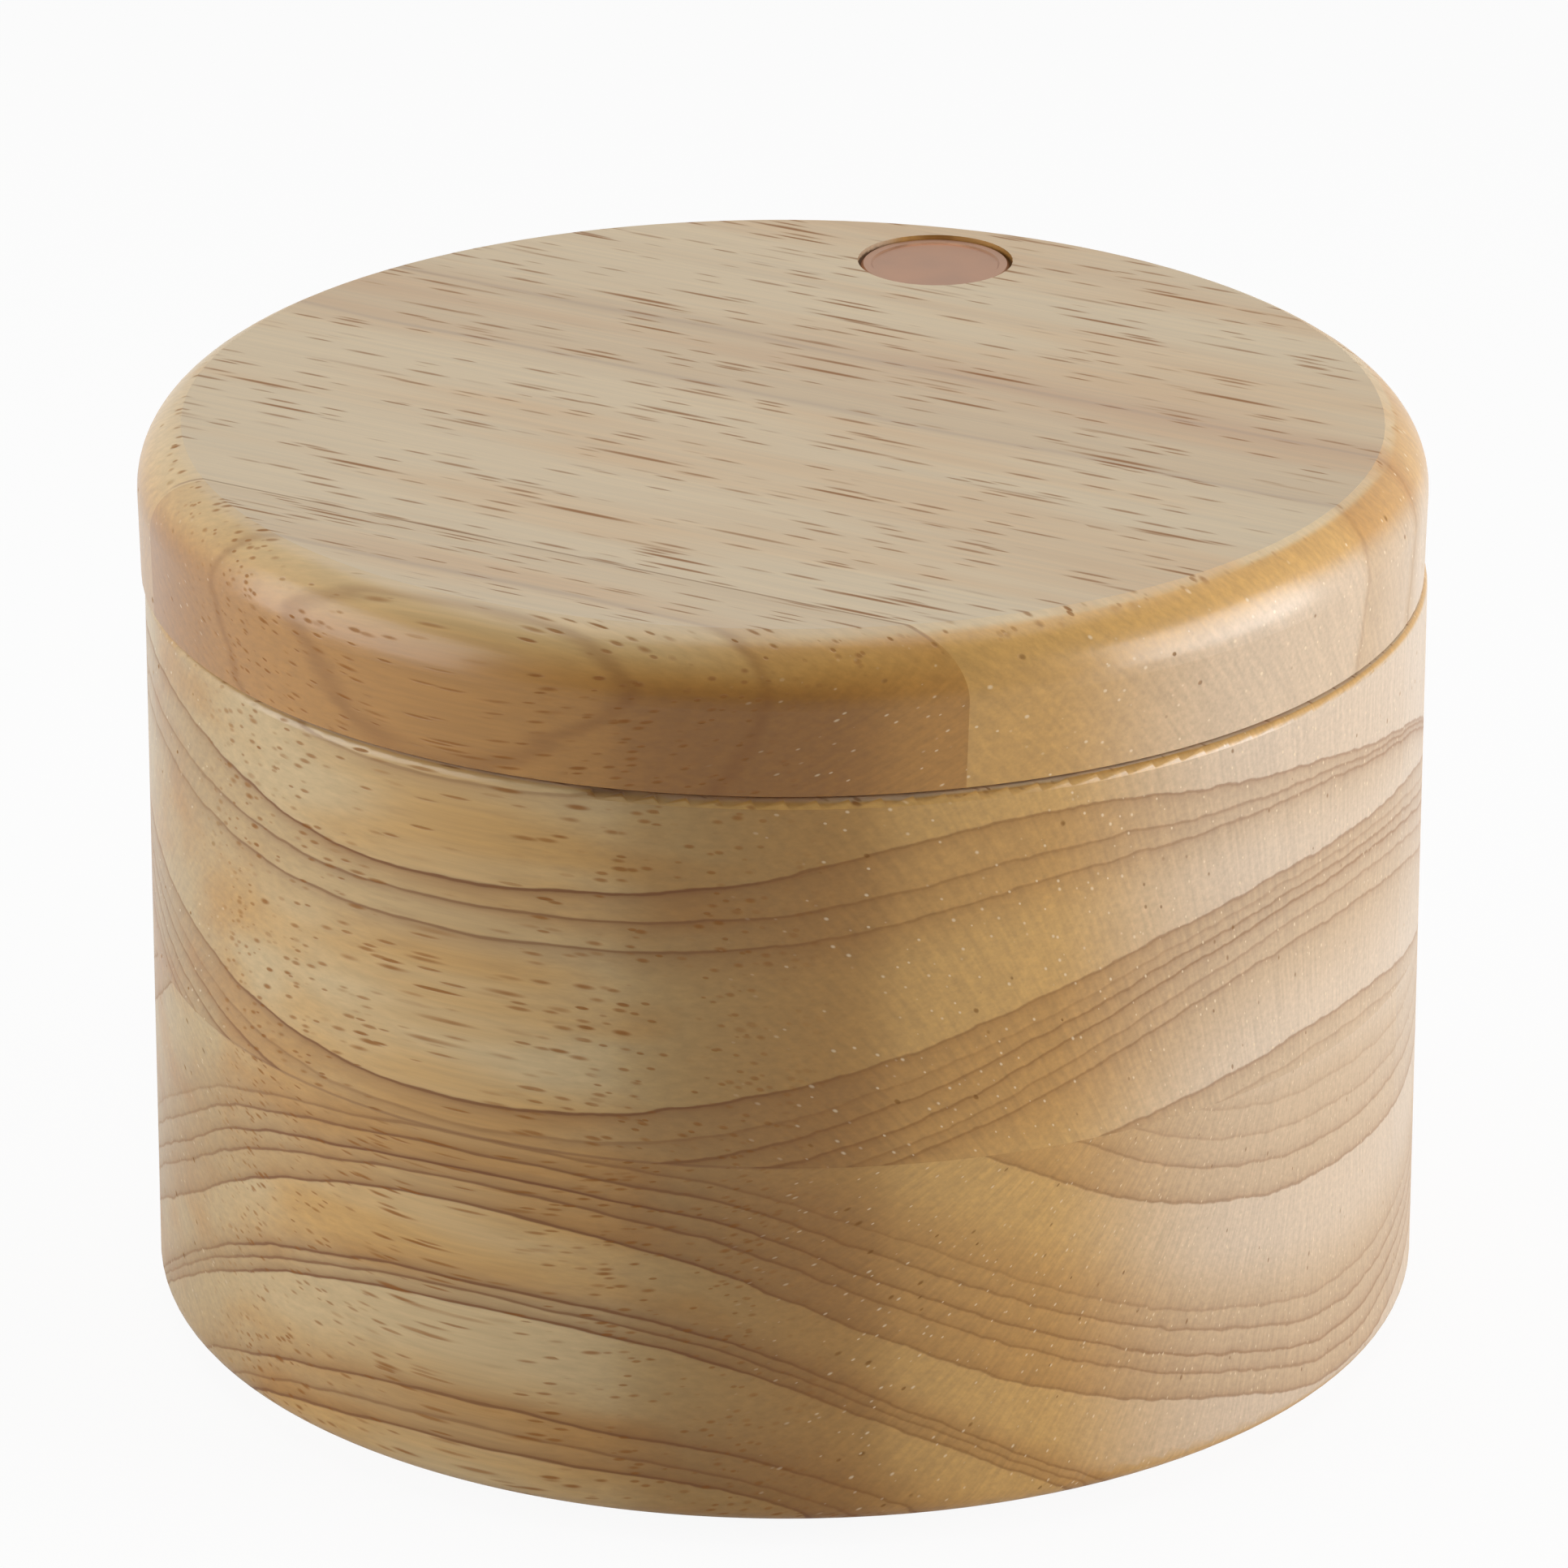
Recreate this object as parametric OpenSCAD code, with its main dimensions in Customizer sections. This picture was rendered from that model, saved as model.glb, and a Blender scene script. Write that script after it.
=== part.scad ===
// Round wooden salt box with a lid that swivels sideways about a pivot near its back edge.
// Units are millimetres. The box stands on z = 0, its axis is +Z and the pivot is on +Y.

/* [Body] */
// Diameter of the turned body
body_d = 120; // [104:1:150]
// Height of the body without the lid
body_h = 73; // [60:1:110]
// Height of the lower of the two boards glued face to face
lower_block_h = 37.6; // [24:0.2:46]
// Radius of the round near the foot
foot_round = 2.6; // [1:0.2:8]
// Slope of the undercut between that round and the flat foot, in degrees
foot_slope = 22; // [15:1:40]
// How far the flat foot lies inside the body's side
foot_inset = 6.6; // [6:0.2:12]
// Radius of the eased edges round the body's top face
edge_round = 0.8; // [0.3:0.1:1.5]

/* [Salt cavity] */
// Wood left between the cavity and the body's side at the front
front_wall = 13; // [11:0.5:18]
// Wood left at the back, where the pivot is anchored
back_wall = 24; // [21:0.5:32]
// Thickness of the floor under the cavity
floor_t = 10; // [6:0.5:18]
// Radius of the cove between the cavity's wall and floor
cove_r = 8; // [2:0.5:12]

/* [Lid] */
// Thickness of the lid
lid_h = 14.3; // [13.5:0.1:25]
// How far the lid's side flares out beyond the body on its way up
lid_flare = 0.2; // [0:0.1:1]
// Radius of the round-over at the lid's top edge
lid_round = 6.6; // [3:0.2:6.8]
// How far the lid's flat top is planed down below the crest of that round
crown_cut = 0.45; // [0:0.05:0.8]
// Width of the narrow front board of the lid, measured from the rim
strip_w = 18; // [14:0.5:30]
// Turn of the boards' grain and glue joint from the X axis, in degrees
grain_turn = -11; // [-30:1:30]
// Gap between the lid and the body, kept by the thrust washer
seam_gap = 0.4; // [0.2:0.1:0.8]
// Angle that the lid stands short of fully shut, in degrees
lid_open = 0.4; // [0:0.1:180]

/* [Pivot] */
// Distance of the pivot's axis from the body's side
pivot_inset = 13.7; // [12:0.1:15]
// Shoulder diameter of the screw that the lid turns on
shoulder_d = 6; // [4.5:0.1:7]
// Head diameter of the pivot screw
head_d = 10; // [9:0.5:11]
// Head height of the pivot screw
head_h = 3.5; // [2.6:0.1:4.5]
// Width of the hexagon socket in the screw's head, across its flats
socket_af = 4; // [3:0.5:5]
// Depth of the hexagon socket
socket_depth = 2; // [1:0.1:2.4]
// Thread diameter of the pivot screw, below its shoulder
thread_d = 5; // [3:0.1:5]
// Wall of the bush that lines the lid's bore
bush_wall = 1; // [0.5:0.1:1.5]
// Wood left under the pocket for the screw's head
web_t = 7; // [5:0.5:8]
// Thickness of the washer under the screw's head
washer_t = 0.8; // [0.5:0.1:1.2]
// Diameter of the washer under the screw's head
washer_d = 11; // [10:0.1:12]
// Diameter of the thrust washer between lid and body
thrust_d = 16; // [12:0.5:18]
// Thickness of the thrust washer
thrust_t = 1; // [0.9:0.1:2]
// Outer diameter of the threaded insert in the body
insert_d = 8; // [7:0.5:10]
// Length of the threaded insert
insert_l = 12; // [8:0.5:20]
// Height of one ring of the insert's outer thread, with its groove
insert_pitch = 2; // [1.5:0.1:3]
// Depth of the grooves of the insert's outer thread
insert_groove = 0.5; // [0.2:0.1:0.6]

/* [Cap disc] */
// Diameter of the disc that covers the pivot
disc_d = 14.5; // [12.6:0.1:15.4]
// Thickness of the cap disc
disc_t = 1.2; // [0.8:0.1:2]
// Depth of the disc's face below the lid's top
disc_recess = 0.3; // [0.1:0.05:0.7]
// Radial gap between the disc and the wood round it
disc_gap = 0.3; // [0.2:0.05:0.6]
// Width of the raised rim round the disc's face
rim_w = 1; // [0.6:0.1:2]
// Height of that rim above the face
rim_h = 0.15; // [0.05:0.05:0.4]
// Bevel round the disc's outer edge
disc_bevel = 0.25; // [0.1:0.05:0.4]

/* [Magnets] */
// Diameter of the two catch magnets
magnet_d = 8; // [5:0.5:9]
// Thickness of a catch magnet
magnet_t = 3; // [1.5:0.5:5]
// Depth of a magnet's face below the wood
magnet_recess = 0.1; // [0.05:0.05:0.3]

/* [Clearances] */
// Radial running clearance between the screw's shoulder and the bush
run_clear = 0.05; // [0.02:0.01:0.1]
// Radial clearance of a piece that is glued or screwed into a bore
seat_clear = 0.05; // [0.02:0.01:0.1]
// Radial clearance round the washers
loose_clear = 0.3; // [0.1:0.05:0.4]
// Play under the screw's head, along the axis
head_play = 0.05; // [0.02:0.01:0.1]

/* [Hidden] */
$fn = 96;
// Overrun of a cutter past the face that it opens
over = 1;
body_r = body_d / 2;
foot_r = body_r - foot_inset;
cavity_r = (body_d - front_wall - back_wall) / 2;
cavity_y = (front_wall - back_wall) / 2;
lid_z = body_h + seam_gap;
top_z = lid_z + lid_h;
lid_r = body_r + lid_flare;
strip_y = lid_r - strip_w;
lid_round_x = lid_r - lid_round;
lid_round_z = top_z + crown_cut - lid_round;
pivot_y = body_r - pivot_inset;
magnet_y = front_wall / 2 - body_r;
disc_floor_z = top_z - disc_recess - disc_t;
pocket_z = lid_z + web_t;
thrust_top_z = body_h + thrust_t;
head_z = pocket_z + washer_t + head_play;
head_top_z = head_z + head_h;
bush_d = shoulder_d + 2 * run_clear + 2 * bush_wall;
insert_z = body_h - insert_l;

// A ring or washer of thickness t, standing on z
module ring(outer_d, inner_d, t, z) {
    translate([0, 0, z])
        difference() {
            cylinder(d = outer_d, h = t);
            translate([0, 0, -over])
                cylinder(d = inner_d, h = t + 2 * over);
        }
}

// A bore of diameter d from z up to top
module bore(d, z, top) {
    translate([0, 0, z])
        cylinder(d = d, h = top - z);
}

// Moves what follows to the pivot's axis
module at_pivot() {
    translate([0, pivot_y, 0])
        children();
}

// Swings what follows about the pivot, as far as the lid stands open
module opened() {
    at_pivot()
        rotate([0, 0, -lid_open])
            translate([0, -pivot_y, 0])
                children();
}

// Moves what follows to the magnets' axis, in the middle of the front wall
module at_magnet() {
    translate([0, magnet_y, 0])
        children();
}

// Half section of the body's outside: undercut foot, round, side and eased top edge
module body_section() {
    round_x = body_r - foot_round;
    meet_x = round_x + foot_round * sin(foot_slope);
    meet_z = (meet_x - foot_r) * tan(foot_slope);
    round_z = meet_z + foot_round * cos(foot_slope);
    polygon([
        [0, 0],
        [foot_r, 0],
        [meet_x, meet_z],
        [round_x, round_z],
        [body_r, round_z],
        [body_r, body_h - edge_round],
        [body_r - edge_round, body_h],
        [0, body_h]
    ]);
    translate([round_x, round_z])
        circle(r = foot_round);
    translate([body_r - edge_round, body_h - edge_round])
        circle(r = edge_round);
}

// Half section of the cavity's cutter: coved floor, straight wall and eased mouth
module cavity_section() {
    difference() {
        translate([0, floor_t])
            square([cavity_r, body_h - floor_t + over]);
        translate([cavity_r - cove_r, floor_t])
            difference() {
                square([cove_r + over, cove_r]);
                translate([0, cove_r])
                    circle(r = cove_r);
            }
    }
    difference() {
        translate([0, body_h - edge_round])
            square([cavity_r + edge_round, edge_round + over]);
        translate([cavity_r + edge_round, body_h - edge_round])
            circle(r = edge_round);
    }
}

// The whole body with its cavity, the insert's hole and the magnet's pocket
module body_turned() {
    difference() {
        rotate_extrude()
            body_section();
        translate([0, cavity_y, 0])
            rotate_extrude()
                cavity_section();
        at_pivot()
            bore(insert_d + 2 * seat_clear, insert_z, body_h + over);
        at_magnet()
            bore(magnet_d + 2 * seat_clear, body_h - magnet_recess - magnet_t, body_h + over);
    }
}

// Half section of the lid: flared side, rounded top edge and planed top
module lid_section() {
    polygon([
        [0, lid_z],
        [body_r, lid_z],
        [lid_r, lid_round_z],
        [lid_round_x, lid_round_z],
        [lid_round_x, top_z],
        [0, top_z]
    ]);
    translate([lid_round_x, lid_round_z])
        intersection() {
            circle(r = lid_round);
            square([lid_round, lid_round - crown_cut]);
        }
}

// The whole lid with the stepped bore at its pivot and the magnet's pocket
module lid_turned() {
    difference() {
        rotate_extrude()
            lid_section();
        at_pivot()
            union() {
                bore(thrust_d + 2 * loose_clear, lid_z - over, thrust_top_z);
                bore(bush_d + 2 * seat_clear, lid_z - over, pocket_z + over);
                bore(washer_d + 2 * loose_clear, pocket_z, top_z);
                bore(disc_d + 2 * disc_gap, disc_floor_z, top_z + over);
            }
        at_magnet()
            bore(magnet_d + 2 * seat_clear, lid_z - over, lid_z + magnet_recess + magnet_t);
    }
}

// The space in front of the lid's glue joint
module strip_side() {
    rotate([0, 0, grain_turn])
        translate([-body_d, -strip_y - body_d, lid_z - over])
            cube([2 * body_d, body_d, lid_h + 2 * over]);
}

// A catch magnet standing on z
module magnet(z) {
    at_magnet()
        translate([0, 0, z])
            cylinder(d = magnet_d, h = magnet_t);
}

module body_upper_block() {
    color([0.72, 0.52, 0.36])
        difference() {
            body_turned();
            cylinder(r = body_d, h = 2 * lower_block_h, center = true);
        }
}

module body_lower_block() {
    color([0.68, 0.48, 0.33])
        intersection() {
            body_turned();
            cylinder(r = body_d, h = 2 * lower_block_h, center = true);
        }
}

module lid_main_board() {
    color([0.86, 0.72, 0.56])
        opened()
            difference() {
                lid_turned();
                strip_side();
            }
}

module lid_front_strip() {
    color([0.84, 0.69, 0.53])
        opened()
            intersection() {
                lid_turned();
                strip_side();
            }
}

module pivot_disc() {
    color([0.75, 0.48, 0.36])
        at_pivot()
            translate([0, 0, disc_floor_z])
                rotate_extrude()
                    polygon([
                        [0, 0],
                        [disc_d / 2, 0],
                        [disc_d / 2, disc_t - disc_bevel],
                        [disc_d / 2 - disc_bevel, disc_t],
                        [disc_d / 2 - rim_w, disc_t],
                        [disc_d / 2 - rim_w - rim_h, disc_t - rim_h],
                        [0, disc_t - rim_h]
                    ]);
}

module pivot_screw() {
    color([0.74, 0.74, 0.76])
        at_pivot()
            difference() {
                union() {
                    bore(thread_d, insert_z, body_h);
                    bore(shoulder_d, body_h, head_z);
                    bore(head_d, head_z, head_top_z);
                }
                translate([0, 0, head_top_z - socket_depth])
                    cylinder(d = socket_af / cos(30), h = socket_depth + over, $fn = 6);
            }
}

module screw_washer() {
    color([0.78, 0.78, 0.8])
        at_pivot()
            ring(washer_d, shoulder_d + 2 * run_clear, washer_t, pocket_z);
}

module pivot_bush() {
    color([0.92, 0.91, 0.87])
        at_pivot()
            ring(bush_d, shoulder_d + 2 * run_clear, pocket_z - thrust_top_z, thrust_top_z);
}

module thrust_washer() {
    color([0.92, 0.91, 0.87])
        at_pivot()
            ring(thrust_d, shoulder_d + 2 * run_clear, thrust_t, body_h);
}

module threaded_insert() {
    groove_h = insert_pitch / 2;
    color([0.8, 0.66, 0.36])
        at_pivot()
            difference() {
                ring(insert_d, thread_d + 2 * seat_clear, insert_l, insert_z);
                for (z = [insert_z + groove_h : insert_pitch : body_h - insert_pitch])
                    ring(insert_d + over, insert_d - 2 * insert_groove, groove_h, z);
            }
}

module lid_magnet() {
    color([0.7, 0.71, 0.73])
        opened()
            magnet(lid_z + magnet_recess);
}

module body_magnet() {
    color([0.7, 0.71, 0.73])
        magnet(body_h - magnet_recess - magnet_t);
}

body_upper_block();
body_lower_block();
lid_main_board();
lid_front_strip();
pivot_disc();
pivot_screw();
screw_washer();
pivot_bush();
thrust_washer();
threaded_insert();
lid_magnet();
body_magnet();
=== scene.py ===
# Salt box with a swivel lid: turned rubberwood, satin lacquered, with a copper cap over the pivot.
import bpy
import math
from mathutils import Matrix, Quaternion, Vector

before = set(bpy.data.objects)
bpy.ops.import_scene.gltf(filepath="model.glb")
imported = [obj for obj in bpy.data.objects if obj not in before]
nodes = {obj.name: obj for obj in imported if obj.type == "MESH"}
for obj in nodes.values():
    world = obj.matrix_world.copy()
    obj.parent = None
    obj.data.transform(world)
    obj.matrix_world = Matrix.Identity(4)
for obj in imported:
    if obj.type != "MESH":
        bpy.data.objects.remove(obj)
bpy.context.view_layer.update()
print("frame loaded:", len(nodes), "pieces")


def hexToLinear(code):
    channels = [int(code[i:i + 2], 16) / 255 for i in (1, 3, 5)]
    linear = [c / 12.92 if c <= 0.04045 else ((c + 0.055) / 1.055) ** 2.4 for c in channels]
    return (*linear, 1.0)


def addNode(tree, kind, settings=None, links=None):
    node = tree.nodes.new(kind)
    for name, value in (settings or {}).items():
        setattr(node, name, value)
    for socket, value in (links or {}).items():
        if isinstance(value, bpy.types.NodeSocket):
            tree.links.new(value, node.inputs[socket])
        else:
            node.inputs[socket].default_value = value
    return node


def newMaterial(name):
    material = bpy.data.materials.new(name)
    material.use_nodes = True
    material.node_tree.nodes.clear()
    return material


def shapeCurve(node, points, smooth=True):
    curve = node.mapping.curves[0]
    for index, (x, y) in enumerate(points):
        if index < 2:
            curve.points[index].location = (x, y)
        else:
            curve.points.new(x, y)
    for point in curve.points:
        point.handle_type = "AUTO" if smooth else "VECTOR"
    node.mapping.extend = "HORIZONTAL"
    node.mapping.update()


def layColours(tree, colour, layers):
    # each layer is how much of it shows, how it mixes, and its colour or grey value
    for share, mode, tone in layers:
        mix = addNode(tree, "ShaderNodeMix", {"data_type": "RGBA", "blend_type": mode},
                      {0: share, 6: colour, 7: tone})
        colour = mix.outputs[2]
    return colour


def dress(node, material):
    for slot in nodes[node].material_slots:
        slot.material = material


# Camera: a long lens from the front right, a little above the box.
view = {
    "place": (0.26860, -0.81643, 0.39742),
    "target": (-0.000159, -0.000052, 0.050448),
    "lens": 225.06,
    "rollDegrees": 0.08,
}
cameraData = bpy.data.cameras.new("camera")
cameraData.lens = view["lens"]
cameraData.sensor_width = 36
cameraData.clip_start = 0.05
cameraData.clip_end = 50
camera = bpy.data.objects.new("camera", cameraData)
bpy.context.scene.collection.objects.link(camera)
aim = (Vector(view["target"]) - Vector(view["place"])).to_track_quat("-Z", "Y")
camera.location = view["place"]
camera.rotation_mode = "QUATERNION"
camera.rotation_quaternion = aim @ Quaternion((0, 0, 1), math.radians(view["rollDegrees"]))
bpy.context.scene.camera = camera
bpy.context.scene.view_settings.view_transform = "Standard"
print("camera placed")


# Light: soft boxes round the table. Azimuth is measured from the camera's side, positive to its right.
# What mirrors the room sees white behind the box and a dim grey elsewhere.
studio = {
    "cameraAzimuth": 18.21,
    "lamps": {
        "boxRight": {"azimuth": 78, "elevation": 9, "reach": 0.7, "size": (0.54, 0.48), "power": 5.25},
        "boxLeft": {"azimuth": -78, "elevation": 11, "reach": 0.7, "size": (0.64, 0.54), "power": 3.7},
        "overhead": {"azimuth": 180, "elevation": 78, "reach": 0.8, "size": (0.9, 0.7), "power": 3.7},
    },
    "aimHeight": 0.045,
    "backdropLevel": 0.85,
    "roomGlint": 0.15,
    "skyFade": (-0.15, 0.35),
    "tableFade": (-0.10, 0.22),
}


def addLamp(name, lamp):
    light = bpy.data.lights.new(name, "AREA")
    light.shape = "RECTANGLE"
    light.size, light.size_y = lamp["size"]
    light.energy = lamp["power"]
    box = bpy.data.objects.new(name, light)
    bpy.context.scene.collection.objects.link(box)
    turn = math.radians(studio["cameraAzimuth"] + lamp["azimuth"])
    rise = math.radians(lamp["elevation"])
    out = Vector((math.sin(turn) * math.cos(rise), -math.cos(turn) * math.cos(rise), math.sin(rise)))
    aimPoint = Vector((0, 0, studio["aimHeight"]))
    box.location = aimPoint + out * lamp["reach"]
    box.rotation_mode = "QUATERNION"
    box.rotation_quaternion = (-out).to_track_quat("-Z", "Y")


for lampName, lamp in studio["lamps"].items():
    addLamp(lampName, lamp)


def whiteToCamera(tree, place, fade):
    # how white the backdrop is for a ray: full for the camera and through glass, by place for a reflection
    path = addNode(tree, "ShaderNodeLightPath")
    seen = addNode(tree, "ShaderNodeMath", {"operation": "MAXIMUM"},
                   {0: path.outputs["Is Camera Ray"], 1: path.outputs["Is Transmission Ray"]})
    turn = math.radians(studio["cameraAzimuth"])
    away = addNode(tree, "ShaderNodeVectorMath", {"operation": "DOT_PRODUCT"},
                   {0: place, 1: (-math.sin(turn), math.cos(turn), 0)})
    rear = addNode(tree, "ShaderNodeMapRange", {"interpolation_type": "SMOOTHSTEP"},
                   {"Value": away.outputs["Value"], "From Min": fade[0], "From Max": fade[1],
                    "To Min": studio["roomGlint"], "To Max": studio["backdropLevel"]})
    mirrored = addNode(tree, "ShaderNodeMath", {"operation": "MULTIPLY"},
                       {0: path.outputs["Is Glossy Ray"], 1: rear.outputs[0]})
    return addNode(tree, "ShaderNodeMath", {"operation": "MAXIMUM"},
                   {0: seen.outputs[0], 1: mirrored.outputs[0]}).outputs[0]


world = bpy.data.worlds.new("studio")
bpy.context.scene.world = world
world.use_nodes = True
worldTree = world.node_tree
worldTree.nodes.clear()
skyWay = addNode(worldTree, "ShaderNodeTexCoord").outputs["Generated"]
whiteWall = addNode(worldTree, "ShaderNodeBackground", None,
                    {"Color": hexToLinear("#FFFFFF"),
                     "Strength": whiteToCamera(worldTree, skyWay, studio["skyFade"])})
addNode(worldTree, "ShaderNodeOutputWorld", None, {0: whiteWall.outputs[0]})


# Floor: white photographic card, matt, so it keeps a soft shadow.
table = {"halfWidth": 6.0, "card": "#F4F4F3", "glow": 0.93}
half = table["halfWidth"]
corners = [(-half, -half, 0), (half, -half, 0), (half, half, 0), (-half, half, 0)]
floorMesh = bpy.data.meshes.new("floorCard")
floorMesh.from_pydata(corners, [], [(0, 1, 2, 3)])
floor = bpy.data.objects.new("floorCard", floorMesh)
bpy.context.scene.collection.objects.link(floor)
card = newMaterial("mattWhiteCard")
cardTree = card.node_tree
cardPlace = addNode(cardTree, "ShaderNodeTexCoord").outputs["Object"]
cardSeen = whiteToCamera(cardTree, cardPlace, studio["tableFade"])
cardMatt = addNode(cardTree, "ShaderNodeBsdfDiffuse", None, {"Color": hexToLinear(table["card"])})
cardGlow = addNode(cardTree, "ShaderNodeEmission", None,
                   {"Color": hexToLinear("#FFFFFF"), "Strength": 1.0})
cardShare = addNode(cardTree, "ShaderNodeMath", {"operation": "MULTIPLY"}, {0: cardSeen, 1: table["glow"]})
cardMix = addNode(cardTree, "ShaderNodeMixShader", None,
                  {0: cardShare.outputs[0], 1: cardMatt.outputs[0], 2: cardGlow.outputs[0]})
addNode(cardTree, "ShaderNodeOutputMaterial", None, {0: cardMix.outputs[0]})
floorMesh.materials.append(card)
print("studio and floor made")


# Rubberwood: pale tan hardwood, turned and sanded, under a satin clear lacquer.
# The eye gets golden brown colour, thin dark growth lines, short brown pore dashes along the grain,
# pin-prick pores on end grain with painted glints, painted shade and a painted golden sheen by facing,
# a painted sheen on flat faces, and a broad soft sheen from the lacquer.
# Sizes are in mm along the grain and twice across it, or along, from the pith and round it.
rubberwood = {
    "cream": "#D8BC8A",
    # golden wood tone, also used for the painted golden sheen
    "goldToneAndSheen": "#D2A45C",
    # end-grain colour, partly its own and partly a painted sheen
    "endGrain": "#D4BCA1",
    "line": "#7C4812",
    "pore": "#945C27",
    # painted glint in end-grain pores
    "paintedPoreGlint": "#F0D9B2",
    "endPoreDark": "#7A4F28",
    # painted sheen: the near-white veil laid on flat faces
    "paintedSheenColour": "#FFF7EC",
    "zoneShade": (0.77, 0.64, 0.43, 1.0),
    # painted shade: the darker, browner tone laid on by which way a side faces
    "paintedShadeTone": (0.64, 0.555, 0.36, 1.0),
    "edgeShade": (1.0, 0.98, 0.95, 1.0),
    # how much painted shade each facing gets, from facing against the grain to facing along it
    "paintedShadeCurve": [(0, 0.6), (0.14, 0.7), (0.21, 0.58), (0.30, 0.14), (0.38, 0.0), (0.52, 0.0), (0.62, 0.28),
                  (0.70, 0.95), (0.77, 0.9), (0.83, 0.15), (0.88, 0.0), (1, 0)],
    "edgeCurve": [(0, 0), (0.4, 0.0), (0.7, 0.45), (0.88, 1.0), (0.97, 0.6), (1, 0)],
    "grainTurn": 11.8,
    "driftSize": (70, 9, 9),
    "fibreSize": (30, 0.55, 0.55),
    "clusterSize": (20, 5, 5),
    "raySize": (2.5, 6, 0.3),
    "pithDistance": 80.0,
    "finePoreShare": 0.8,
    "lineOnLongGrain": 0.86,
    "lineOnEndGrain": 0.5,
    "poreDepth": 0.8,
    # how strongly the painted glints in end-grain pores show
    "paintedGlintDepth": 0.66,
    "endPoreDarkDepth": 0.6,
    "glueLine": 0.5,
    # how much of the painted sheen covers a flat face
    "paintedSheenShare": 0.36,
    "poreRelief": -0.03,
    "fibreRelief": 0.012,
    "roughness": 0.5,
    "roughnessDrift": 0.05,
    "lineDullness": 0.4,
    "poreRoughness": 0.4,
    "flatRoughness": 0.45,
    "specular": 0.4,
    "coat": 0.75,
    "flatCoat": 0.05,
    "coatRoughness": 0.23,
}

# Vessels: the mean spacing in mm, how much of it one fills, the share kept, and where the pattern starts.
vessels = {
    "long": {"cell": (19, 1.0, 0.58), "size": 0.34, "keep": 0.6, "offset": 3.1},
    "fine": {"cell": (8.5, 0.78, 0.46), "size": 0.34, "keep": 0.8, "offset": 17.7},
    # the next pattern draws painted glints in end-grain pores
    "paintedGlintPores": {"cell": (500, 1.3, 0.62), "size": 0.17, "keep": 0.85, "offset": 8.3},
    "endDark": {"cell": (500, 2.6, 1.3), "size": 0.13, "keep": 0.6, "offset": 21.9},
}


def grainAxes(tree):
    # object space in millimetres, turned so that x runs along the grain
    place = addNode(tree, "ShaderNodeTexCoord")
    turned = addNode(tree, "ShaderNodeMapping", None,
                     {"Vector": place.outputs["Object"],
                      "Rotation": (0, 0, math.radians(rubberwood["grainTurn"])),
                      "Scale": (1000, 1000, 1000)})
    split = addNode(tree, "ShaderNodeSeparateXYZ", None, {0: turned.outputs[0]})
    across = addNode(tree, "ShaderNodeMath", {"operation": "MULTIPLY"}, {0: split.outputs[1], 1: -1.0})
    # how squarely the surface cuts the fibres
    turn = math.radians(-rubberwood["grainTurn"])
    grainWay = (math.cos(turn), math.sin(turn), 0)
    facing = addNode(tree, "ShaderNodeVectorMath", {"operation": "DOT_PRODUCT"},
                     {0: place.outputs["Normal"], 1: grainWay})
    square = addNode(tree, "ShaderNodeMath", {"operation": "ABSOLUTE"}, {0: facing.outputs["Value"]})
    endGrain = addNode(tree, "ShaderNodeMapRange", {"interpolation_type": "SMOOTHSTEP"},
                       {"Value": square.outputs[0], "From Min": 0.36, "From Max": 0.62})
    # which way the side looks, seen from above; a flat face looks no way
    steep = addNode(tree, "ShaderNodeSeparateXYZ", None, {0: place.outputs["Normal"]})
    outward = addNode(tree, "ShaderNodeVectorMath", {"operation": "MULTIPLY"},
                      {0: place.outputs["Normal"], 1: (1, 1, 0)})
    compass = addNode(tree, "ShaderNodeVectorMath", {"operation": "NORMALIZE"}, {0: outward.outputs[0]})
    heading = addNode(tree, "ShaderNodeVectorMath", {"operation": "DOT_PRODUCT"},
                      {0: compass.outputs[0], 1: grainWay})
    upright = addNode(tree, "ShaderNodeMapRange", {"interpolation_type": "SMOOTHSTEP"},
                      {"Value": steep.outputs[2], "From Min": 0.75, "From Max": 0.97,
                       "To Min": 1.0, "To Max": 0.0})
    heading = addNode(tree, "ShaderNodeMath", {"operation": "MULTIPLY"},
                      {0: heading.outputs["Value"], 1: upright.outputs[0]})
    return {"along": split.outputs[0], "across": across.outputs[0], "height": split.outputs[2],
            "heading": heading.outputs[0], "square": square.outputs[0], "endGrain": endGrain.outputs[0],
            "up": steep.outputs[2]}


def stretchedNoise(tree, axes, size, detail=2.0, rough=0.5):
    # noise whose cells are as long as size says, in mm
    stretched = addNode(tree, "ShaderNodeCombineXYZ", None, {0: axes[0], 1: axes[1], 2: axes[2]})
    scaled = addNode(tree, "ShaderNodeVectorMath", {"operation": "MULTIPLY"},
                     {0: stretched.outputs[0], 1: [1 / length for length in size]})
    return addNode(tree, "ShaderNodeTexNoise", {"noise_dimensions": "3D"},
                   {"Vector": scaled.outputs[0], "Scale": 1.0, "Detail": detail,
                    "Roughness": rough}).outputs[0]


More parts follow.
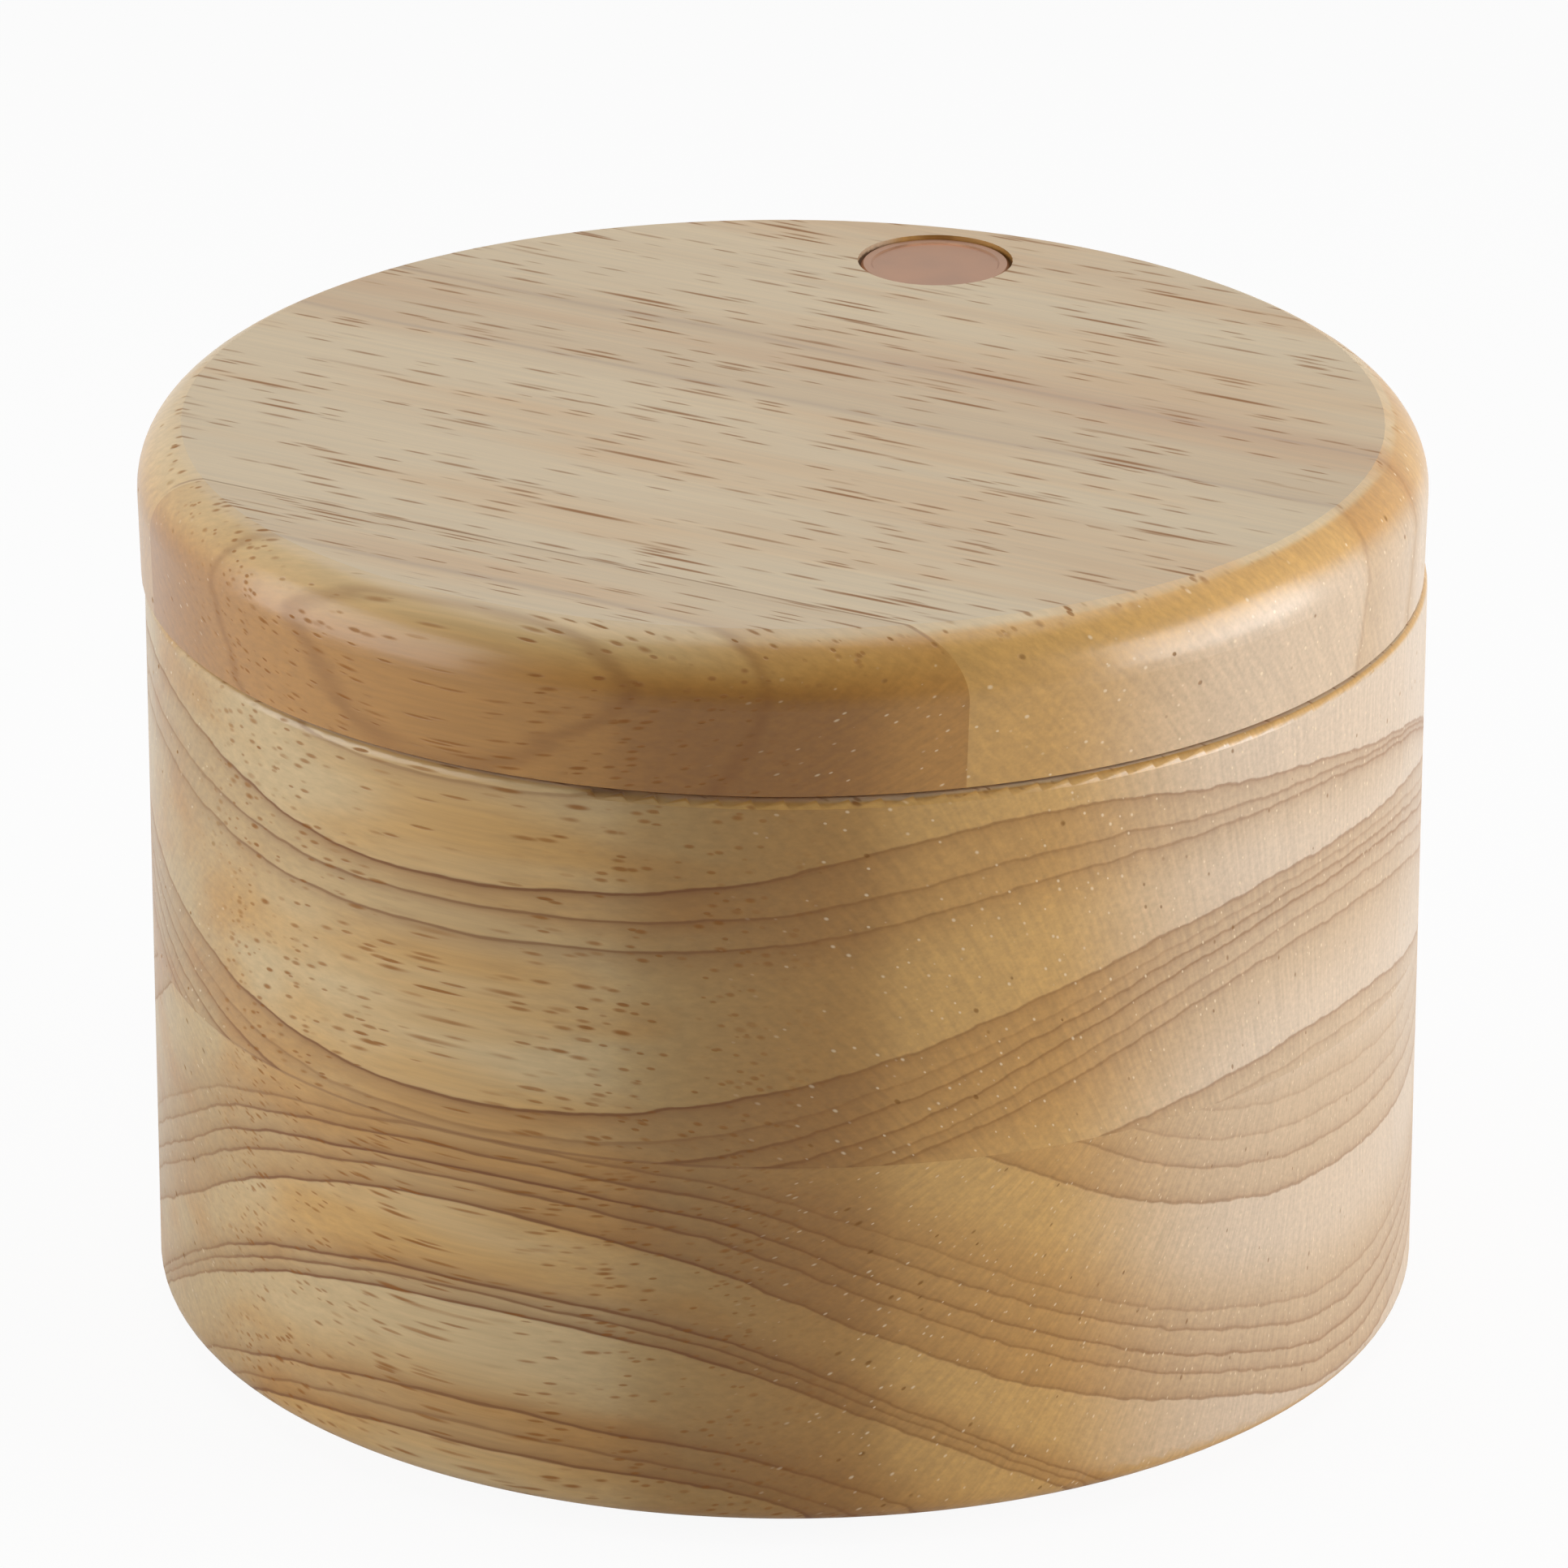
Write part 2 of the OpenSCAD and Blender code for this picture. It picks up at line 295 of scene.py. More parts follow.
def drawPores(tree, axes, vessel):
    # vessels cut open by the surface: one per cell, some left out
    size, keep, offset = vessel["size"], vessel["keep"], vessel["offset"]
    placed = addNode(tree, "ShaderNodeCombineXYZ", None, {0: axes[0], 1: axes[1], 2: axes[2]})
    scaled = addNode(tree, "ShaderNodeVectorMath", {"operation": "MULTIPLY_ADD"},
                     {0: placed.outputs[0], 1: [1 / length for length in vessel["cell"]],
                      2: (offset, offset * 1.7, offset * 0.6)})
    cells = addNode(tree, "ShaderNodeTexVoronoi", {"voronoi_dimensions": "3D", "feature": "F1"},
                    {"Vector": scaled.outputs[0], "Scale": 1.0, "Randomness": 1.0})
    chance = addNode(tree, "ShaderNodeSeparateColor", None, {0: cells.outputs["Color"]})
    kept = addNode(tree, "ShaderNodeMapRange", None,
                   {"Value": chance.outputs[0], "From Min": 1 - keep, "From Max": 1 - keep + 0.15})
    bigness = addNode(tree, "ShaderNodeMapRange", None,
                      {"Value": chance.outputs[1], "To Min": size * 0.6, "To Max": size * 1.2})
    inside = addNode(tree, "ShaderNodeMapRange", {"interpolation_type": "SMOOTHSTEP"},
                     {"Value": cells.outputs["Distance"], "From Min": size * 0.35,
                      "From Max": bigness.outputs[0], "To Min": 1.0, "To Max": 0.0})
    return addNode(tree, "ShaderNodeMath", {"operation": "MULTIPLY"},
                   {0: inside.outputs[0], 1: kept.outputs[0]}).outputs[0]


def polarAxes(tree, grain, pith):
    # axes round the pith: pores and rays line up with it
    dx = addNode(tree, "ShaderNodeMath", {"operation": "SUBTRACT"}, {0: grain["across"], 1: pith[0]})
    dz = addNode(tree, "ShaderNodeMath", {"operation": "SUBTRACT"}, {0: grain["height"], 1: pith[1]})
    flat = addNode(tree, "ShaderNodeCombineXYZ", None, {0: dx.outputs[0], 1: dz.outputs[0]})
    radius = addNode(tree, "ShaderNodeVectorMath", {"operation": "LENGTH"}, {0: flat.outputs[0]})
    angle = addNode(tree, "ShaderNodeMath", {"operation": "ARCTAN2"}, {0: dx.outputs[0], 1: dz.outputs[0]})
    # millimetres round the pith, at the distance where most of the surface lies
    arc = addNode(tree, "ShaderNodeMath", {"operation": "MULTIPLY"},
                  {0: angle.outputs[0], 1: rubberwood["pithDistance"]})
    return grain["along"], radius.outputs["Value"], arc.outputs[0]


def longGrainPores(tree, grain, polar, onLong):
    # clustered long dashes, with fine ones everywhere between them
    longOnes = drawPores(tree, polar, vessels["long"])
    fineOnes = drawPores(tree, polar, vessels["fine"])
    cluster = stretchedNoise(tree, (grain["along"], grain["across"], grain["height"]),
                             rubberwood["clusterSize"], 1.0)
    gather = addNode(tree, "ShaderNodeMapRange", {"interpolation_type": "SMOOTHSTEP"},
                     {"Value": cluster, "From Min": 0.34, "From Max": 0.54})
    gathered = addNode(tree, "ShaderNodeMath", {"operation": "MULTIPLY"},
                       {0: longOnes, 1: gather.outputs[0]})
    fainter = addNode(tree, "ShaderNodeMath", {"operation": "MULTIPLY"},
                      {0: fineOnes, 1: rubberwood["finePoreShare"]})
    both = addNode(tree, "ShaderNodeMath", {"operation": "MAXIMUM"},
                   {0: gathered.outputs[0], 1: fainter.outputs[0]})
    return addNode(tree, "ShaderNodeMath", {"operation": "MULTIPLY"},
                   {0: both.outputs[0], 1: onLong}).outputs[0]


def endGrainPores(tree, polar, vessel, endGrain):
    pores = drawPores(tree, polar, vessel)
    return addNode(tree, "ShaderNodeMath", {"operation": "MULTIPLY"}, {0: pores, 1: endGrain}).outputs[0]


def glueHairline(tree, level, where, onLong):
    fromJoint = addNode(tree, "ShaderNodeMath", {"operation": "SUBTRACT"}, {0: level, 1: where})
    gap = addNode(tree, "ShaderNodeMath", {"operation": "ABSOLUTE"}, {0: fromJoint.outputs[0]})
    hairline = addNode(tree, "ShaderNodeMapRange", {"interpolation_type": "SMOOTHSTEP"},
                       {"Value": gap.outputs[0], "From Min": 0.05, "From Max": 0.2,
                        "To Min": rubberwood["glueLine"], "To Max": 0.0})
    return addNode(tree, "ShaderNodeMath", {"operation": "MULTIPLY"},
                   {0: hairline.outputs[0], 1: onLong}).outputs[0]


def finishWood(tree, grain, board, lines, zones, joint, rimShare=0.0):
    wood = rubberwood
    axes = (grain["along"], grain["across"], grain["height"])
    endGrain = grain["endGrain"]
    onLong = addNode(tree, "ShaderNodeMath", {"operation": "SUBTRACT"}, {0: 1.0, 1: endGrain}).outputs[0]
    polar = polarAxes(tree, grain, board["pith"])

    # broad colour drift, cream or more golden; golden too on the lid's edge, and a painted golden sheen on
    # sides that face partly along the grain
    drift = stretchedNoise(tree, axes, wood["driftSize"], 2.0)
    driftShare = addNode(tree, "ShaderNodeMapRange", {"interpolation_type": "SMOOTHSTEP"},
                         {"Value": drift, "From Min": 0.42, "From Max": 0.72})
    paintedGoldSheen = addNode(tree, "ShaderNodeMapRange", {"interpolation_type": "SMOOTHSTEP"},
                      {"Value": grain["heading"], "From Min": 0.2, "From Max": 0.6})
    goldToneAndSheen = addNode(tree, "ShaderNodeMath", {"operation": "MAXIMUM"},
                     {0: driftShare.outputs[0], 1: paintedGoldSheen.outputs[0]})
    goldToneAndSheen = addNode(tree, "ShaderNodeMath", {"operation": "MAXIMUM"}, {0: goldToneAndSheen.outputs[0], 1: rimShare})

    # end grain that is cut squarely is paler and pinker, partly its own colour and partly a painted sheen
    palerEndGrainAndSheen = addNode(tree, "ShaderNodeMapRange", {"interpolation_type": "SMOOTHSTEP"},
                   {"Value": grain["square"], "From Min": 0.79, "From Max": 0.98})

    # painted shade: by which way the side faces, seen from above, it is painted darker and browner
    compass = addNode(tree, "ShaderNodeMapRange", None,
                      {"Value": grain["heading"], "From Min": -1.0, "From Max": 1.0})
    lean = addNode(tree, "ShaderNodeFloatCurve", None, {"Value": compass.outputs[0]})
    shapeCurve(lean, wood["paintedShadeCurve"])
    upright = addNode(tree, "ShaderNodeMapRange", {"interpolation_type": "SMOOTHSTEP"},
                      {"Value": grain["up"], "From Min": 0.05, "From Max": 0.5, "To Min": 1.0, "To Max": 0.0})
    paintedShadeShare = addNode(tree, "ShaderNodeMath", {"operation": "MULTIPLY"},
                        {0: lean.outputs[0], 1: upright.outputs[0]})

    # where the turned edge rounds over, the cut fibres drink in lacquer and look more golden
    edge = addNode(tree, "ShaderNodeFloatCurve", None, {"Value": grain["up"]})
    shapeCurve(edge, wood["edgeCurve"])

    # flat faces are rubbed down matt, so the lamps don't flash in them; their pale colour is a painted sheen
    # in place of the backdrop's reflection
    flatFace = addNode(tree, "ShaderNodeMapRange", {"interpolation_type": "SMOOTHSTEP"},
                       {"Value": grain["up"], "From Min": 0.82, "From Max": 1.0}).outputs[0]
    paintedSheenShare = addNode(tree, "ShaderNodeMath", {"operation": "MULTIPLY"}, {0: flatFace, 1: wood["paintedSheenShare"]})

    # fibre streaks 0.5 mm across, and rays on end grain; both a little coarser than real so that they show
    fibre = stretchedNoise(tree, axes, wood["fibreSize"], 3.0, 0.6)
    streak = addNode(tree, "ShaderNodeMapRange", None,
                     {"Value": fibre, "From Min": 0.3, "From Max": 0.7, "To Min": 0.9, "To Max": 1.08})
    rays = stretchedNoise(tree, polar, wood["raySize"], 1.0)
    rayShade = addNode(tree, "ShaderNodeMapRange", None,
                       {"Value": rays, "From Min": 0.3, "From Max": 0.7, "To Min": 0.93, "To Max": 1.06})

    lineStrength = addNode(tree, "ShaderNodeMapRange", None,
                           {"Value": endGrain, "To Min": wood["lineOnLongGrain"],
                            "To Max": wood["lineOnEndGrain"]})
    lineDepth = addNode(tree, "ShaderNodeMath", {"operation": "MULTIPLY", "use_clamp": True},
                        {0: lines, 1: lineStrength.outputs[0]})

    # cut along, a vessel is a brown dash; cut across, it is a dark hole, with a painted glint on its lower
    # lip
    longPores = longGrainPores(tree, grain, polar, onLong)
    paintedGlintSpots = endGrainPores(tree, polar, vessels["paintedGlintPores"], endGrain)
    darkPores = endGrainPores(tree, polar, vessels["endDark"], endGrain)
    longDepth = addNode(tree, "ShaderNodeMath", {"operation": "MULTIPLY"},
                        {0: longPores, 1: wood["poreDepth"]})
    darkDepth = addNode(tree, "ShaderNodeMath", {"operation": "MULTIPLY"},
                        {0: darkPores, 1: wood["endPoreDarkDepth"]})
    paintedGlintShare = addNode(tree, "ShaderNodeMath", {"operation": "MULTIPLY"},
                          {0: paintedGlintSpots, 1: wood["paintedGlintDepth"]})
    axis, where = joint
    hairline = glueHairline(tree, grain[axis], where, onLong)

    noTone = (1.0, 1.0, 1.0, 1.0)
    colour = layColours(tree, hexToLinear(wood["cream"]), [
        # golden tone, partly drift and partly painted sheen
        (goldToneAndSheen.outputs[0], "MIX", hexToLinear(wood["goldToneAndSheen"])),
        # paler end grain, partly painted sheen
        (palerEndGrainAndSheen.outputs[0], "MIX", hexToLinear(wood["endGrain"])),
        # painted shade by facing
        (paintedShadeShare.outputs[0], "MULTIPLY", wood["paintedShadeTone"]),
        (edge.outputs[0], "MULTIPLY", wood["edgeShade"]),
        (zones, "MULTIPLY", wood["zoneShade"]),
        (rimShare, "MULTIPLY", board.get("rimTone", noTone)),
        (1.0, "MULTIPLY", streak.outputs[0]),
        (lineDepth.outputs[0], "MIX", hexToLinear(wood["line"])),
        (endGrain, "MULTIPLY", rayShade.outputs[0]),
        # painted sheen on flat faces
        (paintedSheenShare.outputs[0], "MIX", hexToLinear(wood["paintedSheenColour"])),
        (longDepth.outputs[0], "MIX", hexToLinear(wood["pore"])),
        (darkDepth.outputs[0], "MIX", hexToLinear(wood["endPoreDark"])),
        # painted glints in end-grain pores
        (paintedGlintShare.outputs[0], "MIX", hexToLinear(wood["paintedPoreGlint"])),
        (hairline, "MIX", hexToLinear(wood["line"])),
    ])

    # relief under the lacquer, in mm: pores sink a little, fibres hardly at all
    holes = addNode(tree, "ShaderNodeMath", {"operation": "MAXIMUM"}, {0: longPores, 1: darkPores})
    relief = addNode(tree, "ShaderNodeMath", {"operation": "MULTIPLY"},
                     {0: holes.outputs[0], 1: wood["poreRelief"]})
    relief = addNode(tree, "ShaderNodeMath", {"operation": "MULTIPLY_ADD"},
                     {0: fibre, 1: wood["fibreRelief"], 2: relief.outputs[0]})
    bump = addNode(tree, "ShaderNodeBump", None,
                   {"Strength": 1.0, "Distance": 0.001, "Height": relief.outputs[0]})

    # an open pore holds no lacquer film, so it doesn't shine; nor does a flat face
    dull = addNode(tree, "ShaderNodeMath", {"operation": "MULTIPLY_ADD", "use_clamp": True},
                   {0: lines, 1: wood["lineDullness"], 2: holes.outputs[0]})
    rough = addNode(tree, "ShaderNodeMapRange", None,
                    {"Value": drift, "To Min": wood["roughness"] - wood["roughnessDrift"],
                     "To Max": wood["roughness"] + wood["roughnessDrift"]})
    rough = addNode(tree, "ShaderNodeMath", {"operation": "MULTIPLY_ADD", "use_clamp": True},
                    {0: dull.outputs[0], 1: wood["poreRoughness"], 2: rough.outputs[0]})
    rough = addNode(tree, "ShaderNodeMath", {"operation": "MULTIPLY_ADD", "use_clamp": True},
                    {0: flatFace, 1: wood["flatRoughness"], 2: rough.outputs[0]})
    filled = addNode(tree, "ShaderNodeMapRange", None,
                     {"Value": dull.outputs[0], "To Min": 1.0, "To Max": 0.1})
    flatFilm = addNode(tree, "ShaderNodeMapRange", None,
                       {"Value": flatFace, "To Min": wood["coat"], "To Max": wood["flatCoat"]})
    film = addNode(tree, "ShaderNodeMath", {"operation": "MULTIPLY"},
                   {0: filled.outputs[0], 1: flatFilm.outputs[0]})
    shader = addNode(tree, "ShaderNodeBsdfPrincipled", None,
                     {"Base Color": colour, "Roughness": rough.outputs[0], "IOR": 1.5,
                      "Specular IOR Level": wood["specular"], "Coat Weight": film.outputs[0],
                      "Coat Roughness": wood["coatRoughness"], "Coat IOR": 1.5,
                      "Normal": bump.outputs[0], "Coat Normal": bump.outputs[0]})
    addNode(tree, "ShaderNodeOutputMaterial", None, {0: shader.outputs[0]})


def wanderOff(tree, grain, bends):
    # growth lines aren't straight: a slow drift, and a jagged wobble a few millimetres long
    axes = (grain["along"], grain["across"], grain["height"])
    shift = bends["offset"]
    for size, detail, amount in bends["waves"]:
        wave = stretchedNoise(tree, axes, size, detail)
        shift = addNode(tree, "ShaderNodeMath", {"operation": "MULTIPLY_ADD"},
                        {0: wave, 1: amount, 2: shift}).outputs[0]
    return shift


# Growth lines of the two body blocks. A line has a weight, and its heights in mm at the stations across
# the grain. Behind each group the wood is darker, and fades over some mm.
ringStations = (-60, -40, -20, 0, 20, 34, 46, 54, 60)
upperRings = {
    "pith": (0, -42),
    "side": 1,
    "lean": 0.004,
    "groups": [
        {"fade": 2.0, "tint": 0.25, "lines": [
            (0.5, (62, 74, 84, 90, 92, 90, 82, 74.6, 71.6)),
        ]},
        {"fade": 5.0, "tint": 0.75, "lines": [
            (1.0, (40, 51, 61, 65.8, 68.2, 69.7, 68.2, 65, 61.9)),
            (0.8, (39, 50.5, 60.6, 64.8, 65.8, 66, 64, 61.6, 59.8)),
            (0.8, (38, 50, 60.0, 64.0, 64.3, 63.5, 61.2, 58.6, 57)),
        ]},
        {"fade": 9.0, "tint": 1.0, "lines": [
            (1.0, (40.5, 50.5, 56.4, 58.4, 56.5, 52.8, 48, 44, 40.8)),
            (0.5, (38, 48.5, 54.6, 57.2, 55, 50.6, 45.4, 41, 38.5)),
            (0.9, (36, 47, 53.4, 56.1, 53.8, 49.2, 43.5, 39, 36)),
            (1.0, (34, 45, 52.1, 55, 52.4, 47.3, 41, 37, 34)),
            (0.7, (32, 42.5, 50.2, 53.1, 50.3, 45, 39, 35, 32)),
            (0.9, (30, 40.5, 47.8, 50.6, 48.4, 43.2, 37.8, 33, 30)),
        ]},
        {"fade": 8.0, "tint": 0.9, "lines": [
            (1.0, (24, 34, 38.9, 40.8, 39.4, 36.5, 32, 28, 24)),
            (0.5, (22, 32, 36.9, 38.4, 37.2, 34.5, 30, 26, 22)),
        ]},
    ],
}
lowerRings = {
    "pith": (0, 82),
    "side": -1,
    "lean": 0.034,
    "groups": [
        {"fade": 7.0, "tint": 1.0, "lines": [
            (1.0, (28, 14, 6, 2.4, 6, 11.2, 18.5, 25.6, 30.7)),
            (0.9, (30, 17, 9, 4.8, 8.6, 14.4, 22, 28.6, 33)),
            (1.0, (31, 19, 11, 6.8, 10.4, 16.4, 24, 30.6, 34.2)),
            (0.9, (33, 21, 13, 9.2, 12.8, 18.8, 26.6, 32.8, 36)),
            (0.6, (34, 23, 15, 11.6, 14.8, 20.8, 28.8, 34.6, 37.4)),
        ]},
        {"fade": 7.0, "tint": 0.85, "stations": (-60, -40, -20, 0, 20, 34, 42, 54, 60), "lines": [
            (1.0, (33, 30, 24.6, 23.3, 25.6, 31.6, 37, 48, 53)),
            (0.8, (36, 33, 28, 26.6, 29, 36, 41, 52, 57)),
            (0.5, (39, 36, 30.5, 29.4, 32, 39, 44, 55, 60)),
            (0.4, (42, 39, 33.5, 32.4, 35, 42, 47, 58, 63)),
        ]},
        {"fade": 3.5, "tint": 0.75, "stations": (-60, -40, -20, 0, 20, 30, 46, 54, 60), "lines": [
            (1.0, (12, -2, -12, -16, -7, -1.5, 10.2, 16.6, 20.6)),
            (0.8, (13, -1, -11, -15, -6, -0.5, 11.4, 18, 22)),
            (0.9, (14, 0, -10, -14, -5, 0.5, 12.4, 19.2, 23)),
        ]},
        {"fade": 6.0, "tint": 0.9, "lines": [
            (0.9, (0, -12, -20, -26, -18, -12, -2, 4.2, 6.6)),
            (0.6, (2, -10, -18, -24, -16, -10, 0, 5.6, 8.4)),
            (0.9, (4, -8, -16, -22, -14, -8, 2.6, 7.9, 10.7)),
        ]},
    ],
}

# How a growth line is drawn: its profile spans reach mm, and the line lies at origin on it.
# A line's heights are held as shares of tallest.
ringLook = {
    "reach": 6.0,
    "origin": 5 / 6,
    "profile": [(0, 0), (0.48, 0.0), (0.66, 0.14), (0.76, 0.34), (0.798, 0.55), (0.815, 1.0),
                (0.84, 1.0), (0.856, 0.2), (0.87, 0)],
    "zoneStrength": 0.6,
    "halfWidth": 60.0,
    "tallest": 100.0,
    "bends": {"offset": -1.4, "waves": [((40, 22, 22), 1.0, 2.0), ((11, 2.0, 2.0), 3.0, 0.8)]},
    "glueHeight": 37.6,
}


def drawRings(tree, rings, share, height):
    # the thin lines, and the darker wood behind each group of them
    reach, origin, tallest = ringLook["reach"], ringLook["origin"], ringLook["tallest"]
    half = ringLook["halfWidth"]
    side = rings["side"]
    scaled = addNode(tree, "ShaderNodeMath", {"operation": "MULTIPLY_ADD"},
                     {0: height, 1: side / reach, 2: origin})
    lines = 0.0
    zones = 0.0
    for group in rings["groups"]:
        stations = group.get("stations", ringStations)
        gaps = []
        for weight, heights in group["lines"]:
            level = addNode(tree, "ShaderNodeFloatCurve", None, {"Value": share})
            shapeCurve(level, [((x + half) / (2 * half), y / tallest) for x, y in zip(stations, heights)])
            gap = addNode(tree, "ShaderNodeMath", {"operation": "MULTIPLY_ADD"},
                          {0: level.outputs[0], 1: -side * tallest / reach, 2: scaled.outputs[0]})
            profile = addNode(tree, "ShaderNodeFloatCurve", None, {"Value": gap.outputs[0]})
            shapeCurve(profile, ringLook["profile"], False)
            lines = addNode(tree, "ShaderNodeMath", {"operation": "MULTIPLY_ADD"},
                            {0: profile.outputs[0], 1: weight, 2: lines}).outputs[0]
            gaps.append(gap.outputs[0])
        outer = addNode(tree, "ShaderNodeMapRange", {"interpolation_type": "SMOOTHSTEP"},
                        {"Value": gaps[0], "From Min": origin - 0.04, "From Max": origin + 0.03,
                         "To Min": group["tint"] * ringLook["zoneStrength"], "To Max": 0.0})
        inner = addNode(tree, "ShaderNodeMapRange", {"interpolation_type": "SMOOTHSTEP"},
                        {"Value": gaps[-1], "From Min": origin - group["fade"] / reach, "From Max": origin})
        band = addNode(tree, "ShaderNodeMath", {"operation": "MULTIPLY"},
                       {0: outer.outputs[0], 1: inner.outputs[0]})
        zones = addNode(tree, "ShaderNodeMath", {"operation": "MAXIMUM"},
                        {0: band.outputs[0], 1: zones}).outputs[0]
    return lines, zones


def bodyWood(name, rings):
    material = newMaterial(name)
    tree = material.node_tree
    grain = grainAxes(tree)
    half = ringLook["halfWidth"]
    wander = wanderOff(tree, grain, ringLook["bends"])
    level = addNode(tree, "ShaderNodeMath", {"operation": "ADD"}, {0: grain["height"], 1: wander})
    level = addNode(tree, "ShaderNodeMath", {"operation": "MULTIPLY_ADD"},
                    {0: grain["along"], 1: -rings["lean"], 2: level.outputs[0]})
    share = addNode(tree, "ShaderNodeMapRange", None,
                    {"Value": grain["across"], "From Min": -half, "From Max": half})
    lines, zones = drawRings(tree, rings, share.outputs[0], level.outputs[0])
    finishWood(tree, grain, rings, lines, zones, ("height", ringLook["glueHeight"]))
    return material


# Lid boards: nearly quarter-sawn, so the rings run as broad streaks along the grain, at mm across it.
lidBoards = {
    "main": {
        "pith": (-70, -60),
        "rim": 0.3,
        "zones": [(-60, 0.15), (-48, 0.35), (-42, 0.1), (-36, 0.15), (-34, 0.4), (-32, 0.1), (-22, 0.2),
                  (-18.5, 0.75), (-17, 1.0), (-15, 0.55), (-10, 0.6), (-4, 0.75), (-2.5, 0.4), (0, 0.1),
                  (26, 0.1), (34, 0.0), (42, 0.1), (60, 0.3)],
        "lines": [-17.2, -3.4],
    },
    "strip": {
        "pith": (110, 20),
        "rim": 0.85,
        "rimTone": (0.94, 0.89, 0.77, 1.0),
        "zones": [(-60, 0.2), (41, 0.3), (42.2, 0.6), (45.5, 0.35), (48, 0.3), (51.2, 0.6), (51.8, 0.2),
                  (60, 0.2)],
        "lines": [51.4, 56.5],
    },
}

# Streaks lean with height from the lid's top, so that they run down the rim too.
streakLook = {
    "halfWidth": 60.0,
    "lidTop": 87.7,
    "tilt": 0.25,
    "shift": -0.6,
    "lineWidth": 0.6,
    "lineStrength": 0.4,
    "bends": {"offset": -1.5, "waves": [((45, 14, 14), 1.0, 3.0), ((16, 3.2, 3.2), 2.0, 1.2)]},
    "glueAcross": 42.2,
}


def lidWood(name, board):
    material = newMaterial(name)
    tree = material.node_tree
    grain = grainAxes(tree)
    look = streakLook
    half = look["halfWidth"]
    wander = wanderOff(tree, grain, look["bends"])
    place = addNode(tree, "ShaderNodeMath", {"operation": "ADD"}, {0: grain["across"], 1: wander})
    lean = addNode(tree, "ShaderNodeMath", {"operation": "MULTIPLY_ADD"},
                   {0: grain["height"], 1: look["tilt"], 2: look["shift"] - look["tilt"] * look["lidTop"]})
    place = addNode(tree, "ShaderNodeMath", {"operation": "ADD"}, {0: place.outputs[0], 1: lean.outputs[0]})
    share = addNode(tree, "ShaderNodeMapRange", None,
                    {"Value": place.outputs[0], "From Min": -half, "From Max": half})
    bands = addNode(tree, "ShaderNodeFloatCurve", None, {"Value": share.outputs[0]})
    shapeCurve(bands, [((x + half) / (2 * half), y) for x, y in board["zones"]], False)
    # the rim is drawn darker than the top, more so as the face turns down from it
    rim = addNode(tree, "ShaderNodeMapRange", {"interpolation_type": "SMOOTHSTEP"},
                  {"Value": grain["up"], "From Min": 0.2, "From Max": 0.95, "To Min": 1.0, "To Max": 0.0})
    rimZone = addNode(tree, "ShaderNodeMath", {"operation": "MULTIPLY"}, {0: rim.outputs[0], 1: board["rim"]})
    zones = addNode(tree, "ShaderNodeMath", {"operation": "MAXIMUM"},
                    {0: bands.outputs[0], 1: rimZone.outputs[0]})
    lines = 0.0
    for where in board["lines"]:
        gap = addNode(tree, "ShaderNodeMath", {"operation": "SUBTRACT"}, {0: place.outputs[0], 1: where})
        distance = addNode(tree, "ShaderNodeMath", {"operation": "ABSOLUTE"}, {0: gap.outputs[0]})
        thin = addNode(tree, "ShaderNodeMapRange", {"interpolation_type": "SMOOTHSTEP"},
                       {"Value": distance.outputs[0], "From Min": 0.0, "From Max": look["lineWidth"],
                        "To Min": look["lineStrength"], "To Max": 0.0})
        lines = addNode(tree, "ShaderNodeMath", {"operation": "ADD"},
                        {0: thin.outputs[0], 1: lines}).outputs[0]
    finishWood(tree, grain, board, lines, zones.outputs[0], ("across", look["glueAcross"]), rim.outputs[0])
    return material


dress("body_upper_block", bodyWood("satinRubberwoodUpper", upperRings))
dress("body_lower_block", bodyWood("satinRubberwoodLower", lowerRings))
dress("lid_main_board", lidWood("satinRubberwoodLid", lidBoards["main"]))
dress("lid_front_strip", lidWood("satinRubberwoodStrip", lidBoards["strip"]))
print("wood done")


